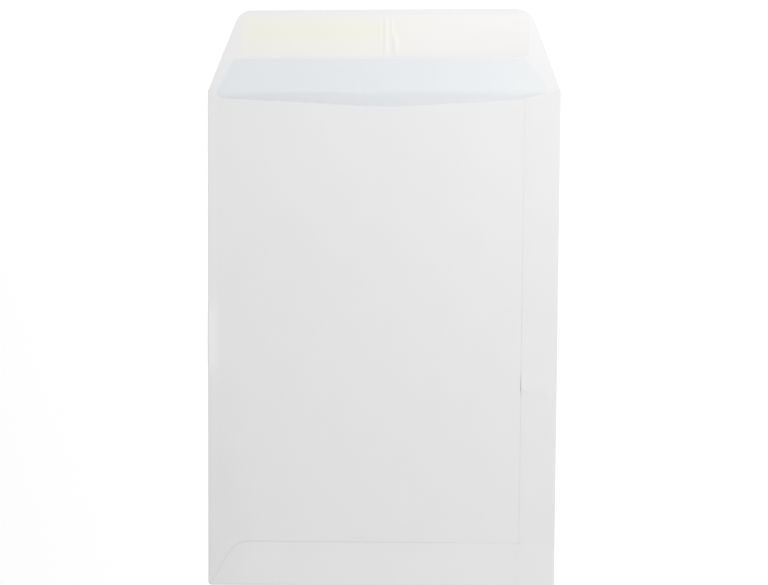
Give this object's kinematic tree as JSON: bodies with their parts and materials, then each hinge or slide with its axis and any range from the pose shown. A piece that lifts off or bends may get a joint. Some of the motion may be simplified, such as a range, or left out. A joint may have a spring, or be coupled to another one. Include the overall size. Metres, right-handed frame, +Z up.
{
  "type": "pocket envelope",
  "caption": "Flat paper pocket envelope, open at one short end, with glued seams and a gummed sealing flap folded open.",
  "frame": {"origin": "middle of the footprint, on the surface that the front panel lies on", "axes": "+X to the right across the envelope, +Y from the bottom fold towards the sealing flap, +Z up, seam side up"},
  "size_m": [0.229, 0.3755, 0.0066],
  "materials": {
    "paper": "matte",
    "gum": "satin",
    "glue": "matte"
  },
  "bodies": {
    "root": {"folded_sheet": "paper", "flap_gum": "gum", "side_seam_glue": "glue", "bottom_flap_glue": "glue"}
  },
  "joints": []
}
